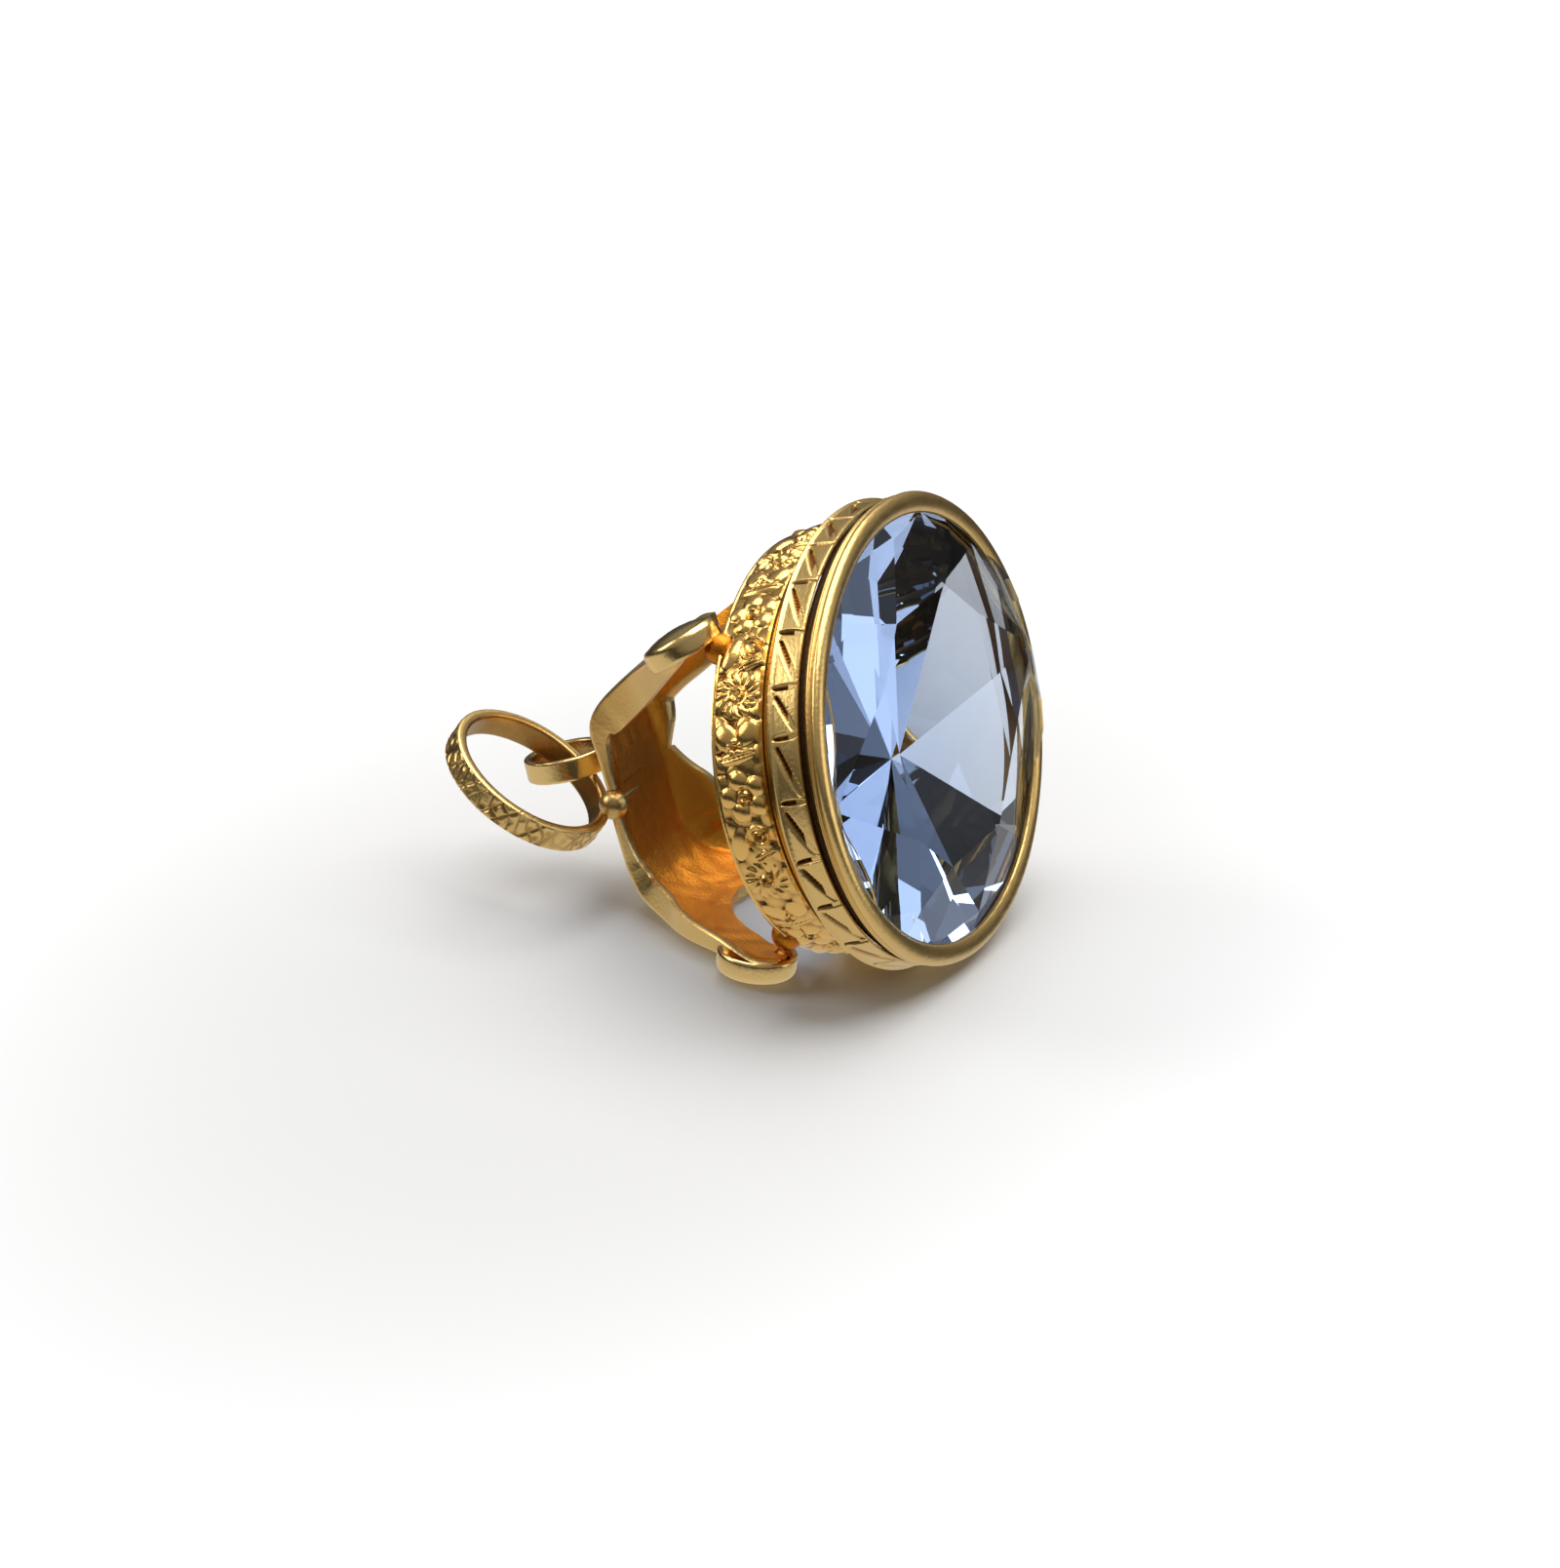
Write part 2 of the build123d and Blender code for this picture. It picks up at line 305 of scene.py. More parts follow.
# Painted shade: the groove behind the wires is darkened, and the lip's back, under the band and behind the
# stone, is marked for the dark gold.
in_groove = np.clip((lip_depth - 0.56) / 0.06, 0, 1) * outside
behind = ((lip_depth > 0.3) & ~outside | (lip_depth > 0.78)).astype(float)
lip_marks = {"dirt_and_shade": in_groove * 0.7, "inside": behind}
lip = gold_piece(surface("lip", lip_grid, satin_gold, lip_marks))
paint_inside_shade(lip, shaded_gold)

# %% [markdown]
# The flat band is cut by hand with a graver. Each cell has a short cut straight across the band and
# a long slanting one, which leaves two triangles. A graver's cut is a valley that is widest in its
# middle and runs out at both ends. The cells differ a little, because they were cut by eye.

# %% The graver's cut
def cut(u, v, start, end, width, depth):
    """Valley from start to end on the (u, v) band, in mm: with l the share of the way along and d the
    distance from the line, it is depth * max(0, 1 - d / w) deep, where w = width * (4 l (1 - l)) ^ 0.3
    on the steep side and half as much again on the other."""
    way = np.array(end) - np.array(start)
    share = ((u - start[0]) * way[0] + (v - start[1]) * way[1]) / (way @ way)
    off = ((u - start[0]) * way[1] - (v - start[1]) * way[0]) / np.hypot(*way)
    half = width * np.clip(4 * share * (1 - share), 0, None) ** 0.3 * np.where(off > 0, 1, 1.5) + 1e-6
    return depth * np.clip(1 - np.abs(off) / half, 0, None) * (share > 0) * (share < 1)


# %% [markdown]
# The band's cells are not all alike. Eight of their borders are measured as angles round the oval,
# and eighteen hidden cells share out the rest of it with a little chance, as a hand would.

# %% The band's outline and the borders of its cells
band_turns, band_length = even_angles(2600, band_line)
band_keys = [(0.52, 0.94), (0.575, 0.96), (0.60, 0.99), (0.61, 1.94), (0.66, 1.97)]
band_keys += [(0.684, 2.00), (0.684, 2.04), (0.66, 2.08), (0.60, 2.10)]
band_swell, band_depth = section(band_keys, 36)
seen = np.radians([106.7, 120.0, 134.4, 148.2, 160.2, 176.1, 191.4, 205.7])
edges = np.interp(seen, band_turns, np.arange(len(band_turns)) / len(band_turns) * band_length)
hidden = 18
step = (edges[0] + band_length - edges[-1]) / hidden
more = edges[-1] + step * (np.arange(1, hidden) + dice.uniform(-0.08, 0.08, hidden - 1))
edges = np.concatenate([edges, more, [edges[0] + band_length]])
print("cells:", len(edges) - 1, "of mean width", round(band_length / (len(edges) - 1), 2), "mm")

# %% [markdown]
# Now the graver goes round: two cuts to a cell, sunk only into the band's flat top. Cutting the
# mesh with wedges would be slower, and would leave ragged faces where two cuts cross.

# %% Band of cut triangles
front, back = 0.98, 1.95
reach = 0.4
u = np.linspace(0, band_length, len(band_turns), endpoint=False)[:, None]
v = band_depth[None, :]
cuts = np.zeros((len(band_turns), len(band_depth)))
for here, there in zip(edges[:-1], edges[1:]):
    for wrap in (0.0, -band_length):
        near = ((u > here + wrap - reach) & (u < there + wrap + reach)).ravel()
        if near.any():
            part = u[near]
            lean = dice.uniform(-0.05, 0.05)
            straight = cut(part, v, (here + wrap + lean, front), (here + wrap - lean, back), 0.12, 0.15)
            tail, tip = (here + wrap + 0.28, back - 0.10), (there + wrap - 0.22, front + 0.08)
            slant = cut(part, v, tail, tip, 0.13, 0.19)
            cuts[near] = np.maximum(cuts[near], np.maximum(straight, slant))
on_top = (band_swell > 0.55) & (band_depth > 0.97) & (band_depth < 1.96)
cuts = cuts * on_top
band_grid = carried(band_turns, band_swell - cuts, v)
# Painted shade: the cuts are darkened by their depth, as shade in the valleys with some dirt.
gold_piece(surface("engraved_band", band_grid, satin_gold, {"dirt_and_shade": np.clip(cuts / 0.12, 0, 1)}))

# %% [markdown]
# Behind the cut band the wall of the cup is chased: flowers, leaves and scrolls are pushed up from a
# ground that is matted with a fine punch. A sculptor would push a dense mesh about; here each
# ornament is a small height function, and the wall takes the highest of them at every point.

# %% Ornaments as heights
def dome(u, v, at, size, turn=0.0):
    """Low mound: sqrt(1 - (p/a)^2 - (q/b)^2), where p and q are the offsets from its centre, turned."""
    du, dv = u - at[0], v - at[1]
    p = du * np.cos(turn) + dv * np.sin(turn)
    q = dv * np.cos(turn) - du * np.sin(turn)
    return np.sqrt(np.clip(1 - (p / size[0]) ** 2 - (q / size[1]) ** 2, 0, None))


def flower(u, v, at, radius, petals, turn):
    """Fat petal mounds in a ring at 0.62 of the radius. In the middle is a ring round a small pit,
    0.9 exp(-((r - 0.18) / 0.075)^2), with r the share of the radius."""
    height = np.zeros(np.broadcast(u, v).shape)
    for k in range(petals):
        way = turn + 2 * np.pi * k / petals
        spot = (at[0] + 0.62 * radius * np.cos(way), at[1] + 0.62 * radius * np.sin(way))
        petal = dome(u, v, spot, (0.42 * radius, 1.9 * radius / petals + 0.03 * radius), way)
        height = np.maximum(height, petal)
    away = np.hypot(u - at[0], v - at[1]) / radius
    height = height * np.clip((away - 0.2) / 0.2, 0, 1)
    return np.maximum(height, 0.9 * np.exp(-(((away - 0.18) / 0.075) ** 2)))


def whorl(u, v, at, radius, ribs, turn):
    """Thin ribs that run outwards from 0.36 to 1 of the radius, 0.75 |cos(ribs * angle / 2)| ^ 0.7 times
    a half round along each rib, and inside them a ring, 0.95 exp(-((r - 0.24) / 0.09)^2)."""
    away = np.hypot(u - at[0], v - at[1]) / radius
    angle = np.arctan2(v - at[1], u - at[0]) + turn + 0.5 * away
    half_round = np.sqrt(np.clip(1 - ((away - 0.68) / 0.32) ** 2, 0, None))
    rib = 0.75 * np.abs(np.cos(ribs * angle / 2)) ** 0.7 * half_round
    return np.maximum(rib, 0.95 * np.exp(-(((away - 0.24) / 0.09) ** 2)))


def leaf(u, v, at, length, turn):
    """A long mound with a vein: the dome times 1 - 0.45 exp(-(q / 0.045)^2), q being the distance from
    its middle line."""
    q = (v - at[1]) * np.cos(turn) - (u - at[0]) * np.sin(turn)
    return dome(u, v, at, (length, 0.34 * length), turn) * (1 - 0.45 * np.exp(-((q / 0.045) ** 2)))


def scroll(u, v, at, radius, turn, hand):
    """Ridge 0.85 exp(-(d / 0.075)^2), where d is the distance to a spiral of two turns whose radius
    shrinks as it winds in."""
    du, dv = u - at[0], v - at[1]
    away = np.hypot(du, dv)
    angle = np.mod(hand * (np.arctan2(dv, du) - turn), 2 * np.pi)
    first = radius * (1 - 0.5 * angle / (2 * np.pi))
    second = radius * 0.5 * (1 - 0.6 * angle / (2 * np.pi))
    ridge = np.minimum(np.abs(away - first), np.abs(away - second))
    return 0.85 * np.exp(-((ridge / 0.075) ** 2)) * (away < radius * 1.15)


# %% [markdown]
# The wall itself is a shallow cove under the band, a plain wire, then a straight side that carries
# the chasing. At its front it closes against the band, and at its rear it turns in to the stone.

# %% The wall's outline
wall_turns, wall_length = even_angles(1600, -0.33)
rows_v = np.concatenate([[2.30, 2.42, 2.56, 2.62, 2.66, 2.70, 2.75, 2.79], np.linspace(2.83, 4.72, 40)])
wire = 0.24 * np.exp(-(((rows_v - 2.70) / 0.07) ** 2))
cove = np.where(rows_v < 2.62, -0.22 + 0.5 * (rows_v - 2.46) ** 2, -0.33)
front_steps = [(-0.30, 2.03), (0.60, 2.04), (0.62, 2.08), (0.30, 2.14), (-0.16, 2.24)]
rear_steps = [(-0.29, 4.76), (-0.28, 4.80), (-0.29, 4.84), (-0.33, cup_depth), (-0.88, cup_depth)]
rear_steps += [(-0.95, 4.83), (-0.95, 4.0), (-0.95, 3.0), (-0.95, 2.2)]
wall_swell = np.concatenate([[k[0] for k in front_steps], cove + wire, [k[0] for k in rear_steps]])
wall_depth = np.concatenate([[k[1] for k in front_steps], rows_v, [k[1] for k in rear_steps]])
print("points round the wall and across it:", len(wall_turns), len(wall_depth))

# %% [markdown]
# The ground between the ornaments is never smooth on old work: a round punch has dented it all over.
# Rows of low pebbles at chance spots and sizes give that, and they go on first.

# %% The punched ground
u = np.linspace(0, wall_length, len(wall_turns), endpoint=False)[:, None]
v = wall_depth[None, :]
relief = np.zeros((len(wall_turns), len(wall_depth)))
pebbles = 70
for row in range(4):
    for k in range(pebbles):
        at = (k + 0.5 * (row % 2)) / pebbles * wall_length + dice.uniform(-0.15, 0.15)
        near = (np.abs(u - at) < 0.6).ravel()
        size = dice.uniform(0.32, 0.5, 2)
        pebble = 0.45 * dome(u[near], v, (at, 2.98 + 0.52 * row), size, dice.uniform(0, 3))
        relief[near] = np.maximum(relief[near], pebble)
print("share of the wall raised by the ground:", round(float((relief > 0).mean()), 2))

# %% [markdown]
# Over the ground come the ornaments, in four kinds that take turns round the wall. Each is turned and
# set a little differently, so that the eye doesn't catch the repeat.

# %% Flowers, leaves and scrolls
def ornament(kind, p, v, centre, mid, spin):
    """One of four groups: a whorl, leaves with a small flower, a large flower, a scroll with leaves."""
    if kind == 0:
        return whorl(p, v, (centre, mid), 0.97, 13, spin)
    if kind == 2:
        return flower(p, v, (centre, mid), 0.98, 5, spin)
    if kind == 1:
        made = dome(p, v, (centre - 0.35, mid - 0.45), (0.58, 0.44), 0.5)
        made = np.maximum(made, dome(p, v, (centre - 0.25, mid + 0.42), (0.60, 0.46), -0.4))
        made = np.maximum(made, 0.9 * leaf(p, v, (centre + 0.5, mid - 0.05), 0.85, 1.4))
        return np.maximum(made, flower(p, v, (centre + 0.15, mid + 0.05), 0.34, 5, spin))
    made = scroll(p, v, (centre - 0.15, mid - 0.34), 0.58, spin, 1)
    made = np.maximum(made, dome(p, v, (centre + 0.1, mid + 0.52), (0.72, 0.36), 0.3))
    return np.maximum(made, leaf(p, v, (centre + 0.66, mid - 0.3), 0.58, 1.2))


motifs = 30
for k in range(motifs):
    centre = (k + 0.5 + dice.uniform(-0.06, 0.06)) / motifs * wall_length
    near = (np.abs(u - centre) < 2.2).ravel()
    spin = dice.uniform(0, 2 * np.pi)
    mid = 3.80 + dice.uniform(-0.06, 0.06)
    relief[near] = np.maximum(relief[near], ornament(k % 4, u[near], v, centre, mid, spin))
print("ornaments:", motifs, "one every", round(wall_length / motifs, 2), "mm")

# %% [markdown]
# The heights become metal: the wall is pushed out by up to 0.22 mm, and everything low is painted
# darker, partly as shade in the hollows and partly as tarnish. The cove under the band and the wall's rear
# behind the stone are painted dark as shade and take the dark gold. The relief fades out at both borders.

# %% The chased wall
on_wall = wall_swell > -0.9
field = np.clip((wall_depth - 2.84) / 0.08, 0, 1) * np.clip((4.74 - wall_depth) / 0.08, 0, 1) * on_wall
relief = relief * field
highest = 0.22
# Painted shade: the low ground between ornaments is darkened, with some tarnish, and the cove under the
# band is darkened as shade; the cove and the rear behind the stone take the dark gold.
low = np.clip(0.5 - relief, 0, 0.5) / 0.5 * field
in_cove = np.clip(1 - np.abs(wall_depth - 2.38) / 0.28, 0, 1) * on_wall
wall_marks = {"dirt_and_shade": low * 0.95 + in_cove * 0.8}
wall_marks["inside"] = ((wall_swell < -0.6) | (in_cove > 0.45)).astype(float)
wall_grid = carried(wall_turns, wall_swell + highest * relief, v)
wall = gold_piece(surface("chased_wall", wall_grid, chased_gold, wall_marks))
paint_inside_shade(wall, shaded_gold)

# %% [markdown]
# Two straps of sheet rise from the flat crown and spread to the feet. Each was raised hollow: its
# edges are turned in, so it looks like a shallow trough. Between its feet the sheet is cut out to
# an arch. One strap is drawn as two halves that meet in its middle, because a half is a simple
# closed section carried along a curve, and the arch is then only the section's inner edge.

# %% The strap's curves and widths
yoke_drop = 0.25
upper_keys = [(12.80, 0.0), (12.86, 1.2), (12.95, 2.2), (12.72, 2.95), (11.95, 3.72), (10.31, 4.69)]
upper_keys += [(9.0, 5.35), (7.70, 6.01), (6.60, 6.60), (6.10, 6.80), (5.60, 6.85)]
upper_widths = [(13.0, 2.72), (12.5, 2.74), (11.5, 2.88), (10.4, 3.5), (9.3, 4.4), (8.4, 5.3)]
upper_widths += [(7.6, 6.2), (6.6, 6.5)]
lower_keys = [(12.80, 0.0), (12.78, 1.3), (12.70, 2.5), (12.58, 3.3), (12.10, 4.25), (10.95, 5.07)]
lower_keys += [(9.85, 5.50), (8.05, 6.05), (6.80, 6.62), (6.10, 6.80), (5.60, 6.85)]
lower_widths = [(13.0, 2.75), (12.6, 2.95), (12.1, 3.25), (10.9, 4.1), (9.85, 5.0), (8.1, 6.1)]
lower_widths += [(7.0, 6.5), (5.0, 6.5)]


def smooth_line(keys, count):
    """Curve through the keys: each stretch is the cubic whose slopes at its ends are half the step
    from the key before to the key after, so the pieces join without a corner."""
    keys = np.asarray(keys, float)
    slopes = np.gradient(keys, axis=0)
    at = np.linspace(0, len(keys) - 1, count)
    k = np.minimum(at.astype(int), len(keys) - 2)
    f = (at - k)[:, None]
    a, b, m, n = keys[k], keys[k + 1], slopes[k], slopes[k + 1]
    ends = a * (1 + 2 * f) * (1 - f) ** 2 + b * f * f * (3 - 2 * f)
    return ends + m * f * (1 - f) ** 2 + n * f * f * (f - 1)


def evened(values, reach=16):
    """Each value becomes the mean of the 2 * reach + 1 values round it."""
    padded = np.pad(values, reach, mode="edge")
    return np.convolve(padded, np.ones(2 * reach + 1) / (2 * reach + 1), mode="valid")


for word, keys in (("upper", upper_keys), ("lower", lower_keys)):
    length = np.hypot(*np.diff(smooth_line(keys, 241), axis=0).T).sum()
    print(word, "strap from crown to foot, mm:", round(float(length), 2))

# %% [markdown]
# The section of a half strap is one closed line: out along the face, round the corner, down the
# turned-in edge, over its rim and back inside. Where the hollow side begins along that line, the
# metal also gets soft hammer marks, because it was only polished on its outside.

# %% The section of a half strap
skin, round_off = 0.42, 0.2
rim_starts, inside_starts, back_starts = 24, 27, 31


def strap_section(arch, outer, deep, splay):
    """Across and inwards in mm, for each step along the strap: the outer face from the arch to the
    corner, 0.12 f^2 deep; a quarter round; the turned-in edge, which leans out by splay; its rim;
    and the inner faces back to the arch."""
    level = np.zeros(len(outer))
    lean = splay * (deep - 0.5)
    face = np.linspace(0, 1, 14)[:-1]
    keys = [(arch + (outer - round_off - arch) * f, 0.12 * f * f + level) for f in face]
    for a in np.linspace(0, np.pi / 2, 6):
        keys += [(outer - round_off * (1 - np.sin(a)), 0.12 + round_off * (1 - np.cos(a)) + level)]
    keys += [(outer + lean * f, 0.32 + (deep - 0.32) * f) for f in (0.25, 0.5, 0.75, 1.0)]
    keys += [(outer + lean - skin * f, deep + 0.04 * np.sin(np.pi * f)) for f in (0.15, 0.5, 0.85, 1.0)]
    keys += [(outer + lean * (1 - f) - skin, deep + (0.62 - deep) * f) for f in (0.3, 0.6, 0.9)]
    keys += [(outer - skin - 0.15, 0.52 + level)]
    keys += [(arch + (outer - skin - 0.3 - arch) * f, 0.46 + level) for f in np.linspace(1, 0, 12)]
    return np.array([k[0] for k in keys]).T, np.array([k[1] for k in keys]).T


def hammered(across, s, h):
    """Soft dents on the hollow side of the spread arms: 0.03 mm times two crossed waves."""
    dents = np.zeros(across.shape)
    inner = across[:, back_starts:]
    slow = np.sin(inner * 3.1 + s[:, None] * 1.7 + 2 * np.sin(s[:, None] * 1.3))
    dents[:, back_starts:] = 0.03 * slow * np.sin(s[:, None] * 3.9 + 1.5 * np.sin(inner * 2.1))
    return dents * (h[:, None] > 1)


# %% [markdown]
# The section is now carried along the strap's side view. Bending a flat sheet with a modifier would
# stretch the edges, while here each edge keeps the depth that is read for it at each height.

# %% A half strap
def half_strap(name, side, up, keys, widths, turned_in, splay, sag=0.0):
    """The section carried along the strap's curve. The arch between the feet is half an ellipse, with
    4.65 sqrt(1 - ((s - 4.9) / 4.7)^2) as its half width at depth s. The edge's depth follows the
    height h above the crown's middle. The sheet hangs by sag * across * sin(share of the way)."""
    line = smooth_line(keys, 241)
    way = np.gradient(line, axis=0)
    way /= np.hypot(*way.T)[:, None]
    inwards = np.stack([-way[:, 1], way[:, 0]], 1)
    s, h = line.T
    widths, turned_in = np.array(widths), np.array(turned_in)
    outer = evened(np.interp(-s, -widths[:, 0], widths[:, 1]))
    arch = 4.65 * np.sqrt(np.clip(1 - ((s - 4.9) / 4.7) ** 2, 0, None)) * (s < 9.6)
    deep = evened(np.maximum(np.interp(h, turned_in[:, 0], turned_in[:, 1]), 0.5))
    across, into = strap_section(arch, outer, deep, splay)
    into = into + hammered(across, s, h)
    spot = line[:, None, :] + inwards[:, None, :] * into[..., None]
    bow = sag * across * np.sin(np.pi * np.clip((spot[..., 0] - 7.2) / 5.6, 0, 1))
    y = -yoke_drop + up * (spot[..., 1] - bow)
    # Painted shade: the rim is darkened a little and the hollow side more, and the hollow side takes the
    # orange gold as a painted reflection of the gold round it.
    inside = np.zeros(across.shape)
    inside[:, rim_starts:inside_starts] = 0.4
    inside[:, inside_starts:] = 1.0
    marks = {"dirt_and_shade": inside * 0.35, "inside": inside}
    grid = placed(side * across, y, spot[..., 0])
    half = gold_piece(surface(name, grid, satin_gold, marks, close_rows=False, sharp=50))
    paint_inside_shade(half, orange_gold)


# %% [markdown]
# The near edges follow the rims that are seen. The far ones are deeper and lean out more; they show
# only through the opening, where their insides, painted orange as a reflection of the gold round them
# and darker as shade, fill the view.

# %% Four half straps
upper_edge = [(0.9, 0.3), (1.2, 0.55), (2.2, 0.97), (2.95, 1.33), (3.72, 1.54), (4.69, 1.42), (5.35, 1.22)]
upper_edge += [(6.01, 1.04), (6.6, 0.9), (6.8, 0.5)]
lower_edge = [(1.6, 0.3), (2.2, 0.55), (2.7, 0.72), (3.3, 0.85), (4.25, 1.16), (5.07, 1.22), (5.5, 1.03)]
lower_edge += [(6.05, 0.7), (6.5, 0.5)]
far_upper_edge = [(0.2, 0.4), (1.2, 1.1), (3.7, 1.3), (4.7, 1.0), (6.0, 0.7), (6.5, 0.5)]
far_lower_edge = [(0.2, 0.4), (1.0, 1.3), (2.5, 1.8), (4.25, 1.7), (5.5, 1.2), (6.5, 0.5)]
half_strap("upper_strap_near", -1, 1, upper_keys, upper_widths, upper_edge, 0.25)
half_strap("upper_strap_far", 1, 1, upper_keys, upper_widths, far_upper_edge, 0.5, 0.2)
half_strap("lower_strap_near", -1, -1, lower_keys, lower_widths, lower_edge, 0.2)
half_strap("lower_strap_far", 1, -1, lower_keys, lower_widths, far_lower_edge, 0.8)

# %% [markdown]
# Each foot ends in a round lobe, a small dish with its hollow side turned to the stone. A dish is
# a profile turned about its axis; its wall is let down on the side where the strap comes in. The
# outside is a low dome, so the two lower dishes touch the ground only at their middles.

# %% Turned surfaces
def turned(profile, count, centre, axis, start, dip=None):
    """Surface of revolution: centre + r (cos a * e1 + sin a * e2) + h * axis, for profile points (r, h)."""
    axis = np.asarray(axis, float) / np.linalg.norm(axis)
    first = np.asarray(start, float) - axis * np.dot(start, axis)
    first /= np.linalg.norm(first)
    second = np.cross(axis, first)
    a = np.linspace(0, 2 * np.pi, count, endpoint=False)[:, None]
    r, h = np.asarray(profile, float).T
    r, h = r[None, :] + 0 * a, h[None, :] + 0 * a
    if dip is not None:
        h = dip(a, r, h)
    spoke = np.cos(a)[..., None] * first + np.sin(a)[..., None] * second
    return centre + r[..., None] * spoke + h[..., None] * axis


def beads(name, profile, centre, axis, start, finish, marks=None, dip=None, count=96):
    """A turned surface in the jewel's directions (x, y, depth s), with both poles closed."""
    points = turned(profile, count, np.asarray(centre, float), axis, start, dip)
    grid = placed(points[..., 0], points[..., 1], points[..., 2])
    return gold_piece(surface(name, grid, finish, marks, close_columns=False, poles=True))


# %% [markdown]
# All four feet are the same dish, only turned to face the stone. Its rim is let down where the strap
# comes in, so that strap and dish read as one bent sheet.

# %% The four lobes
def let_down(a, r, h):
    """Where the strap comes in, over a third of the way round, the rim sinks to 0.55, near the floor
    of the dish."""
    near_strap = np.clip((np.cos(a) - 0.45) / 0.2, 0, 1)
    return np.where((h > 0.55) & (r > 1.1), 0.55 + (h - 0.55) * (1 - near_strap), h)


bend = np.radians(np.linspace(0, 90, 9))
dish = [(0.0, 0.0), (0.35, 0.015), (0.7, 0.06), (1.0, 0.13), (1.2, 0.20)]
dish += [(1.24 + 0.26 * np.sin(a), 0.50 - 0.28 * np.cos(a)) for a in bend]
dish += [(1.505, 0.70), (1.51, 0.92), (1.50, 1.00), (1.46, 1.06), (1.39, 1.08), (1.32, 1.04), (1.28, 0.92)]
dish += [(1.25, 0.72), (1.12, 0.58), (0.8, 0.48), (0.4, 0.43), (0.0, 0.42)]
# Painted shade: the dish's hollow side is marked darker than its domed outside, as painted shade and
# reflection of the gold round it.
dish_marks = np.array([0.0] * 18 + [0.1, 0.4, 0.8] + [1.0] * (len(dish) - 21))
foot_out, foot_up, foot_back = 6.25, 6.79, 6.65
feet = [(side, up, f"{word}_{{}}_{hand}") for up, word in ((1, "upper"), (-1, "lower"))
    for side, hand in ((-1, "near"), (1, "far"))]
for side, up, name in feet:
    centre = (side * foot_out, -yoke_drop + up * foot_up, foot_back)
    towards_stone, towards_strap = (0, -up * 0.943, -0.333), (-side * 0.8, 0, 0.75)
    beads(name.format("lobe"), dish, centre, towards_stone, towards_strap, polished_gold,
        {"dirt_and_shade": dish_marks}, let_down)

# %% [markdown]
# Small things hold the yoke together: a cross pin in the crown, whose round end shows as a knob, and
# a drop of solder at each foot. They are turned beads too, and so is the stem of the fixed loop. A
# drop of solder could be a plain ball, but the shared helper also marks it for its finish.

# %% Cross pin, solder and stem
knob = [(0.0, -3.24), (0.22, -3.21), (0.42, -3.09), (0.55, -2.87), (0.56, -2.62), (0.46, -2.4)]
knob += [(0.22, -2.3), (0.10, 0.0), (0.10, 2.5), (0.07, 2.58), (0.0, 2.6)]
beads("cross_pin", knob, (0.0, -0.80, 12.46), (1, 0, 0), (0, 1, 0), satin_gold, {"dirt_and_shade": 0.3}, count=48)
drop_radius = 0.6
around = np.linspace(0, np.pi, 25)
drop = [(drop_radius * np.sin(a), -drop_radius * np.cos(a)) for a in around]
drop[0], drop[-1] = (0.0, -drop_radius), (0.0, drop_radius)
for side, up, name in feet:
    beads(name.format("solder"), drop, (side * foot_out, up * 5.56, 4.95), (0.0, 0.3, 1.0), (1, 0, 0),
        orange_gold, {"dirt_and_shade": 0.6}, count=40)
stem = [(0.0, 12.46), (0.60, 12.46), (0.62, 12.8), (0.55, 12.95), (0.46, 13.1), (0.42, 13.35)]
stem += [(0.44, 13.6), (0.5, 13.8), (0.5, 13.9), (0.0, 13.9)]
beads("loop_stem", stem, (0.0, 0.4, 0.0), (0, 0, 1), (1, 0, 0), polished_gold, {"dirt_and_shade": 0.3}, count=40)

# %% [markdown]
# The fixed loop and the loose ring are both flat bands bent round to a ring. A torus would be too
# round in section, so the band is a rectangle with softened corners, carried round a circle.

# %% The fixed loop
def band_ring(name, centre, axis, outer, thick, width, finish, node, count, soft, carve=None):
    """Flat ring: a rounded rectangle (thick x width) carried round a circle of the outer radius.
    carve(arc, across) is taken off the outer face, in mm."""
    axis = np.asarray(axis, float) / np.linalg.norm(axis)
    first = np.cross(axis, (0.0, 0.0, 1.0))
    first /= np.linalg.norm(first)
    second = np.cross(axis, first)
    corner = np.radians(np.linspace(0, 90, 6))
    r_mid, w_mid = thick / 2 - soft, width / 2 - soft
    keys = []
    for sx, sy, arc in ((1, 1, corner), (-1, 1, corner[::-1]), (-1, -1, corner), (1, -1, corner[::-1])):
        keys += [(sx * (r_mid + soft * np.cos(c)), sy * (w_mid + soft * np.sin(c))) for c in arc]
    p, q = section(keys, 72)
    a = np.linspace(0, 2 * np.pi, count, endpoint=False)[:, None]
    radius = outer - thick / 2 + p[None, :] + 0 * a
    off = np.zeros(radius.shape)
    if carve is not None:
        off = carve(a * outer, q[None, :]) * (p > thick / 2 - 0.02)
        radius = radius - off
    spoke = np.cos(a)[..., None] * first + np.sin(a)[..., None] * second
    spots = np.asarray(centre, float) + radius[..., None] * spoke + q[None, :, None] * axis
    grid = placed(spots[..., 0], spots[..., 1], spots[..., 2])
    # Painted shade: the band's inner face is painted darker as shade, and carved cuts are darkened by their
    # depth, with some dirt.
    return gold_piece(surface(name, grid, finish, {"dirt_and_shade": off / 0.08 + 0.6 * (p < 0)}), node)


band_ring("fixed_loop", (0.0, 0.4, 15.27), (0, 1, 0), 1.66, 0.32, 0.88, polished_gold, "setting", 160, 0.10)

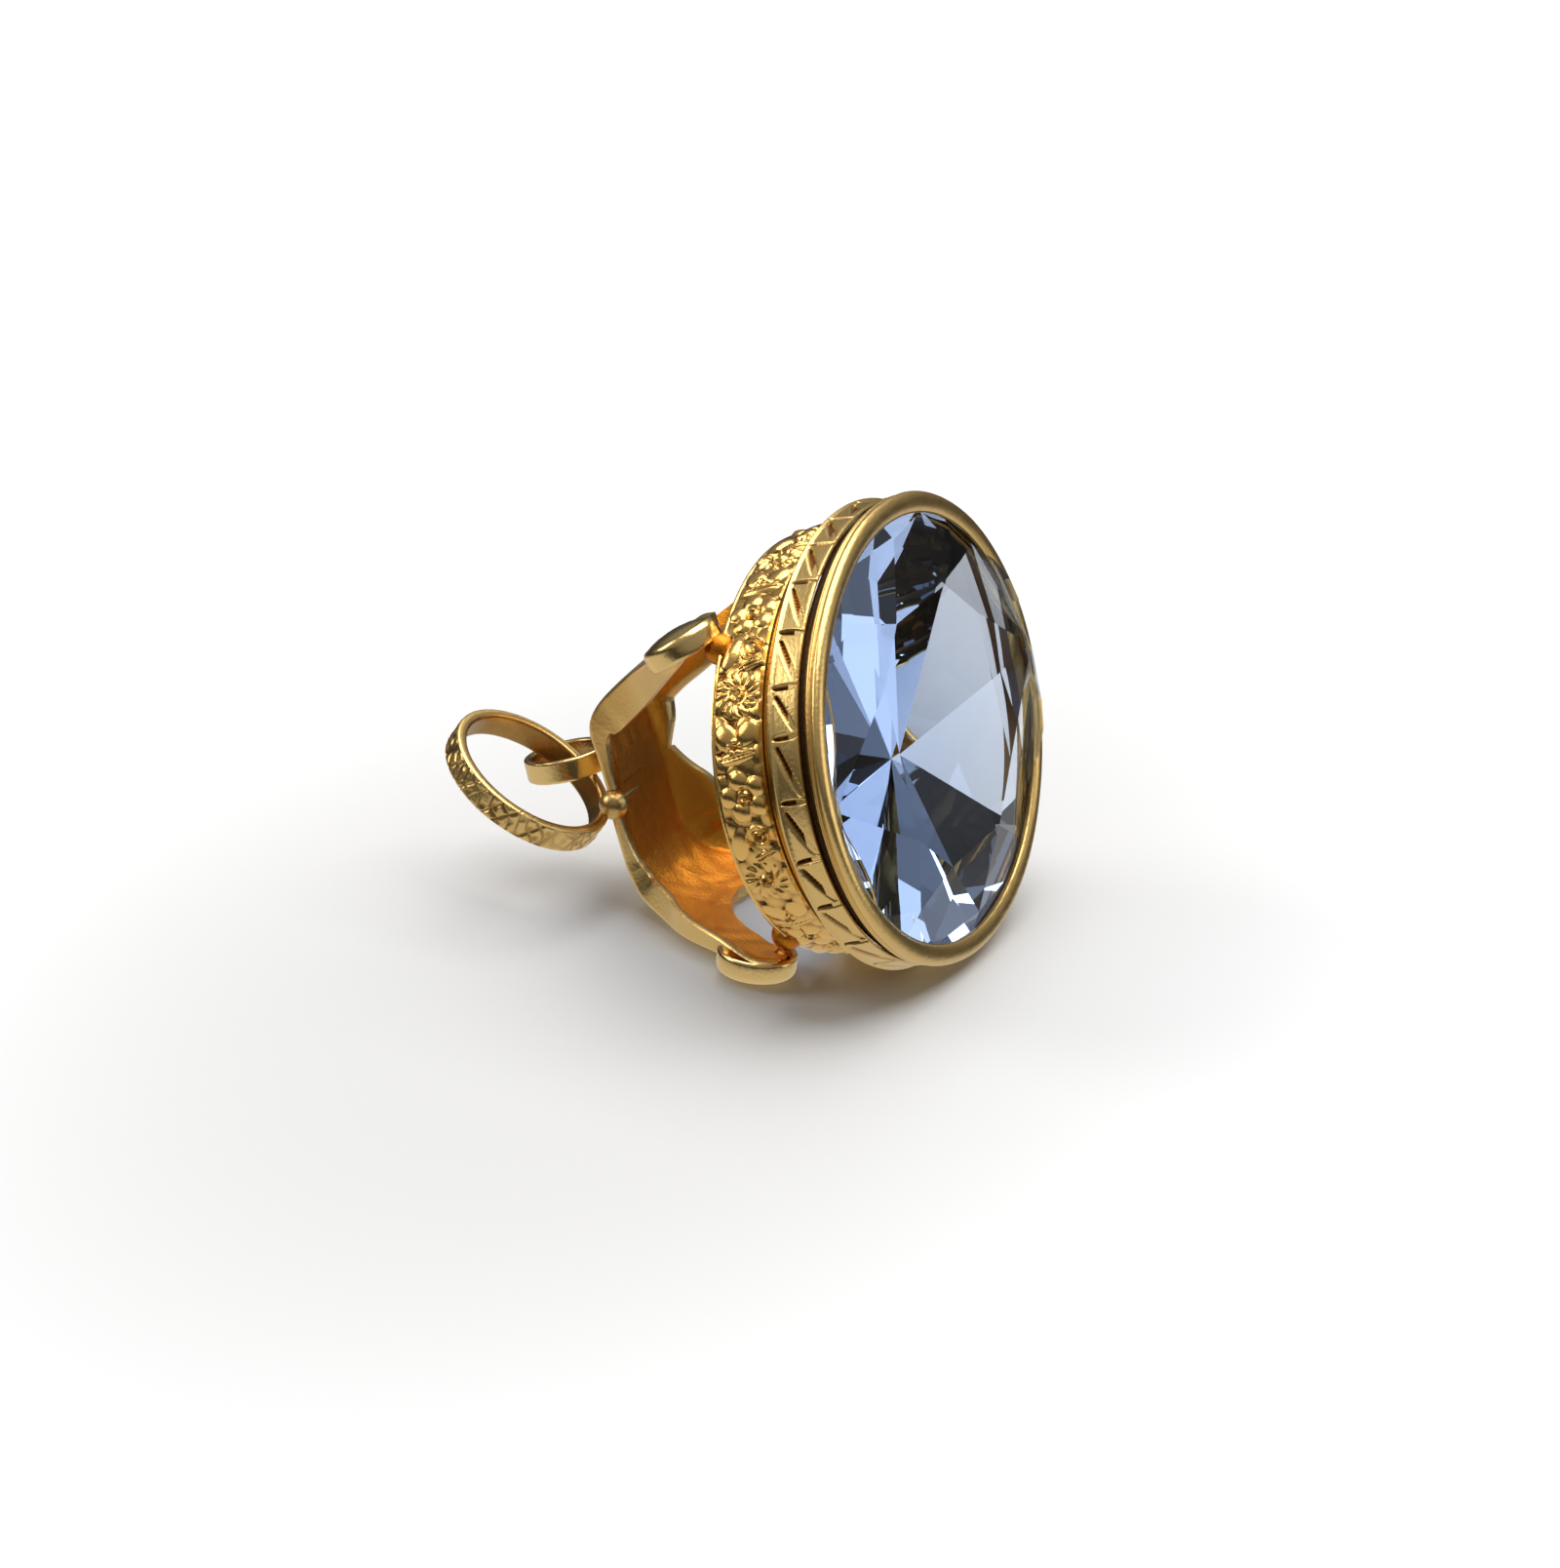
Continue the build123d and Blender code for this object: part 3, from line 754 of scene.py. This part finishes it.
# %% [markdown]
# The loose ring carries a worn, hand-cut pattern on its outside: two families of shallow cuts cross
# there, with small pits between them, and wear has rubbed them unevenly. Cutting every leaf would
# need a drawing that nobody has, so waves that cross stand for them. The ring leans in the loop.

# %% The loose ring
def lattice(arc, across):
    """Leafy pattern, 0.075 mm deep at most: the larger of slanting valleys and 0.8 of small pits, times
    the wear, 0.65 + 0.35 sin(0.9 arc + 1) sin(2.3 arc), so that some of it is nearly gone."""
    wave = 0.22 * np.sin(arc * 1.7) + 0.16 * np.sin(arc * 4.3 + across * 3.0)
    one = np.abs(np.mod(arc / 0.78 + across * 0.85 + wave, 1.0) - 0.5) * 2
    two = np.abs(np.mod(arc / 0.61 - across * 1.15 - 1.3 * wave, 1.0) - 0.5) * 2
    pits = np.clip(np.sin(arc * 7.9) * np.sin(across * 8.3 + 1.0 + np.sin(arc * 2.1)), 0, 1)
    worn = 0.65 + 0.35 * np.sin(arc * 0.9 + 1.0) * np.sin(arc * 2.3)
    lines = np.clip(1 - np.minimum(one, two) / 0.42, 0, 1)
    return 0.075 * np.maximum(lines, 0.8 * pits) * worn


ring_centre = (-3.1456, 0.6857, 15.5392)
ring_axis = (-0.003, 0.668, -0.744)
ring_radius, ring_thick, ring_width = 3.36, 0.44, 1.02
band_ring("loose_ring", ring_centre, ring_axis, ring_radius, ring_thick, ring_width, satin_gold,
    "bail_ring", 1100, 0.12, lattice)

# %% [markdown]
# The stone is a pale blue oval with a large eight-sided table. Round the table lie eight small star
# facets, eight kites and sixteen thin facets by the girdle; below it the cut repeats down to the
# culet. Facets have to be flat, or the glass shader shows bent reflections, so each corner is worked
# out as the point where three planes meet.

# %% Corners of the facets
table_depth, girdle_front, girdle_back, culet_depth = -0.53, 0.37, 0.67, 6.96
quarter = [(4.9, 2.95), (2.55, 4.75)]
table = np.array(quarter + [(-x, y) for x, y in quarter[::-1]] + [(-x, -y) for x, y in quarter] +
    [(x, -y) for x, y in quarter[::-1]])
main_turn = np.unwrap(np.arctan2(table[:, 1] / half_short, table[:, 0] / half_long))
main_turn = np.append(main_turn, main_turn[0] + 2 * np.pi)
print("the table is", 2 * quarter[0][0], "mm long on a stone of", 2 * half_long, "mm")


# %% [markdown]
# A main facet's plane holds a tip and touches the girdle along a line. Two neighbouring planes and a
# depth give one point, and the thin facets then hang between that point and the girdle.

# %% Where planes meet
def rim(turn, depth):
    """Point on the stone's girdle."""
    return np.array([half_long * np.cos(turn), half_short * np.sin(turn), depth])


def main_planes(tops, depth):
    """Plane k holds tops[k] and the line that touches the girdle at main_turn[k]: (normal, offset)."""
    planes = []
    for k in range(9):
        foot = rim(main_turn[k], depth)
        touch = np.array([-half_long * np.sin(main_turn[k]), half_short * np.cos(main_turn[k]), 0.0])
        normal = np.cross(touch, tops[k % 8] - foot)
        planes.append((normal, normal @ foot))
    return planes


def meeting(first, second, depth):
    """The point of two planes at a given depth."""
    rows = np.array([first[0], second[0], (0.0, 0.0, 1.0)])
    return np.linalg.solve(rows, np.array([first[1], second[1], depth]))


def rim_arc(corner, start, end, depth):
    """Girdle points from start to end, each moved in depth until it lies in the facet that holds
    the corner and the two end points."""
    a, b = rim(start, depth), rim(end, depth)
    normal = np.cross(a - corner, b - corner)
    arc = np.array([rim(turn, depth) for turn in np.linspace(start, end, 6)])
    arc[1:-1, 2] = (normal @ corner - arc[1:-1, :2] @ normal[:2]) / normal[2]
    return arc


# %% [markdown]
# Above the girdle each tip is a corner of the table, and below it every tip is the culet, so one loop
# cuts both sides. The share says how far from the girdle to the tip the kites' side corners lie.

# %% The facets
tops = np.column_stack([table, np.full(8, table_depth)])
facets = [tops]
culets = [np.array([0.0, -0.9, culet_depth])] * 8
crown_share, pavilion_share = 0.45, 0.36
rim_front, rim_rear = [], []
crown_side = (tops, girdle_front, crown_share, rim_front)
pavilion_side = (culets, girdle_back, pavilion_share, rim_rear)
for tips, edge, share, side_rim in (crown_side, pavilion_side):
    planes = main_planes(tips, edge)
    middle = [meeting(planes[k], planes[k + 1], edge + (tips[k][2] - edge) * share) for k in range(8)]
    for k in range(8):
        half_way = (main_turn[k] + main_turn[k + 1]) / 2
        facets.append(np.array([tips[k], middle[k - 1], rim(main_turn[k], edge), middle[k]]))
        if tips is tops:
            facets.append(np.array([tips[k], middle[k], tips[(k + 1) % 8]]))
        for start, end in ((main_turn[k], half_way), (half_way, main_turn[k + 1])):
            arc = rim_arc(middle[k], start, end, edge)
            facets.append(np.vstack([arc, middle[k]]))
            side_rim.extend(arc[:-1])
for k in range(len(rim_front)):
    after = (k + 1) % len(rim_front)
    facets.append(np.array([rim_front[k], rim_front[after], rim_rear[after], rim_rear[k]]))
print("facets:", len(facets), "of which girdle:", len(rim_front))

# %% [markdown]
# A clear Principled shader bends the light; the colour sits in the body of the stone, as in a real
# one, so that thick parts look darker blue than thin ones. A tint on the surface alone would make
# the thin rim as blue as the middle.

# %% The blue glass
blue_stone, tree, glass = new_material("blue_stone")
glass.inputs["Transmission Weight"].default_value = 1.0
glass.inputs["IOR"].default_value = 1.62
glass.inputs["Roughness"].default_value = 0.0
where = add_node(tree, "ShaderNodeTexCoord")
haze = add_node(tree, "ShaderNodeTexNoise", Scale=120.0)
spread = add_node(tree, "ShaderNodeMix")
spread.data_type = "RGBA"
spread.inputs["A"].default_value = (0.86, 0.90, 0.96, 1)
spread.inputs["B"].default_value = (0.78, 0.84, 0.93, 1)
tree.links.new(where.outputs["Object"], haze.inputs["Vector"])
tree.links.new(haze.outputs["Fac"], spread.inputs["Factor"])
tree.links.new(spread.outputs["Result"], glass.inputs["Base Color"])
tint = add_node(tree, "ShaderNodeVolumeAbsorption", Color=(0.34, 0.55, 0.88, 1), Density=68.0)
tree.links.new(tint.outputs["Volume"], tree.nodes["Material Output"].inputs["Volume"])
print("the stone's glass has", len(tree.nodes), "nodes")

# %% [markdown]
# Facets that share a corner are joined there, and all faces are turned outwards. Only a closed stone
# can hold colour in its body, so the cell counts the open edges, of which there must be none.

# %% The cut stone
corners = np.vstack(facets)
ends = np.cumsum([0] + [len(f) for f in facets])
stone_mesh = bpy.data.meshes.new("cut_stone")
stone_mesh.from_pydata(placed(*corners.T).tolist(), [], [list(range(a, b)) for a, b in zip(ends, ends[1:])])
work = bmesh.new()
work.from_mesh(stone_mesh)
bmesh.ops.remove_doubles(work, verts=work.verts, dist=2e-6)
bmesh.ops.recalc_face_normals(work, faces=work.faces)
print("open edges in the stone:", sum(not e.is_manifold for e in work.edges))
work.to_mesh(stone_mesh)
work.free()
stone_mesh.materials.append(blue_stone)
cut_stone = bpy.data.objects.new("cut_stone", stone_mesh)
bpy.context.scene.collection.objects.link(cut_stone)
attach(cut_stone, "root")
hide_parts("stone")

# %% [markdown]
# The stage is a sheet of white paper, painted greyer near the jewel as the jewel's soft shadow. Metal
# only shows what surrounds it, and white paper in every reflection would wash the gold out, so the paper
# is left out of them and the room's own light and dark bands show instead.

# %% The paper
floor_mesh = bpy.data.meshes.new("floor")
floor_mesh.from_pydata([(-0.6, -0.6, 0), (0.6, -0.6, 0), (0.6, 0.9, 0), (-0.6, 0.9, 0)], [], [(0, 1, 2, 3)])
floor = bpy.data.objects.new("floor", floor_mesh)
bpy.context.scene.collection.objects.link(floor)
paper, tree, sheet = new_material("paper")
sheet.inputs["Roughness"].default_value = 0.6
where = add_node(tree, "ShaderNodeTexCoord")
squeeze = add_node(tree, "ShaderNodeMapping", Location=(0.0, 0.004, 0.0), Scale=(1.0, 0.5, 1.0))
distance = add_node(tree, "ShaderNodeVectorMath")
distance.operation = "LENGTH"
# Painted shadow: the paper is grey near the jewel, centred a little in front of it and stretched front to
# back, and fades to white further out.
fade = add_node(tree, "ShaderNodeMapRange", From_Min=0.008, From_Max=0.038)
fade.interpolation_type = "SMOOTHSTEP"
shade = add_node(tree, "ShaderNodeMix")
shade.data_type = "RGBA"
shade.inputs["A"].default_value = (0.60, 0.597, 0.59, 1)
shade.inputs["B"].default_value = (0.86, 0.865, 0.87, 1)
tree.links.new(where.outputs["Object"], squeeze.inputs["Vector"])
tree.links.new(squeeze.outputs["Vector"], distance.inputs[0])
tree.links.new(distance.outputs["Value"], fade.inputs["Value"])
tree.links.new(fade.outputs["Result"], shade.inputs["Factor"])
tree.links.new(shade.outputs["Result"], sheet.inputs["Base Color"])
floor_mesh.materials.append(paper)
floor.visible_glossy = False
print("paper:", [round(d, 2) for d in floor.dimensions], "m")

# %% [markdown]
# Three soft lamps light the jewel: a large one overhead, and two low ones like windows, which draw the
# bright lines on the lip and the straps. Smaller lamps would give hard spots that the stone repeats.

# %% The lamps
def lamp(name, spot, size, power):
    """Soft square lamp, size in metres and power in watts, that looks at the jewel."""
    data = bpy.data.lights.new(name, "AREA")
    data.size = size
    data.energy = power
    light = bpy.data.objects.new(name, data)
    light.location = spot
    light.rotation_euler = Vector(spot).to_track_quat("Z", "Y").to_euler()
    bpy.context.scene.collection.objects.link(light)
    print(f"{name}: {Vector(spot).length:.2f} m away, {power} W")


lamp("overhead", (0.02, 0.12, 0.42), 0.50, 2.9)
lamp("left_window", (-0.34, -0.12, 0.20), 0.22, 0.50)
lamp("right_window", (0.44, 0.20, 0.07), 0.28, 0.34)

# %% [markdown]
# The room is a grey that changes with height: bright below, dark at the horizon, mid grey above. The
# dark band gives the gold its brown reflections and the stone its deep blue ones. The Standard view
# shows the colours as they are set, without the softening of the default view.

# %% The room
world = bpy.data.worlds.new("studio")
bpy.context.scene.world = world
world.use_nodes = True
tree = world.node_tree
sky_way = add_node(tree, "ShaderNodeTexCoord")
split = add_node(tree, "ShaderNodeSeparateXYZ")
height = add_node(tree, "ShaderNodeMapRange", From_Min=-1.0)
bands = add_node(tree, "ShaderNodeValToRGB")
greys = [(0.0, 0.66), (0.31, 0.60), (0.37, 0.16), (0.42, 0.03), (0.53, 0.04), (0.60, 0.20), (1.0, 0.36)]
while len(bands.color_ramp.elements) < len(greys):
    bands.color_ramp.elements.new(0.5)
for element, (at, grey) in zip(bands.color_ramp.elements, greys):
    element.position = at
    element.color = (grey, grey, grey, 1)
tree.links.new(sky_way.outputs["Generated"], split.inputs["Vector"])
tree.links.new(split.outputs["Z"], height.inputs["Value"])
tree.links.new(height.outputs["Result"], bands.inputs["Fac"])
tree.links.new(bands.outputs["Color"], tree.nodes["Background"].inputs["Color"])
bpy.context.scene.view_settings.view_transform = "Standard"
print("room: grey from", greys[0][1], "below to", greys[-1][1], "above, by way of", greys[3][1])

# %% [markdown]
# The camera is a long lens from some way off, so the jewel is hardly foreshortened, and it is tilted
# by a few degrees as the picture was. Its three directions were fitted to measured points, and go
# straight into its matrix; turning it by angles would need them worked back first.

# %% The camera
eye = bpy.data.cameras.new("eye")
eye.lens = 184.58
eye.sensor_width = 36.0
eye.clip_start = 0.01
camera = bpy.data.objects.new("eye", eye)
right = (0.92537, 0.3678, 0.09177)
up = (-0.21414, 0.30743, 0.92716)
forward = (-0.3128, 0.87762, -0.36325)
position = (0.096561, -0.266081, 0.115317)
axes = [(right[k], up[k], -forward[k], position[k]) for k in range(3)]
camera.matrix_world = Matrix(axes + [(0, 0, 0, 1)])
bpy.context.scene.collection.objects.link(camera)
bpy.context.scene.camera = camera
print("camera above the floor, m:", position[2])
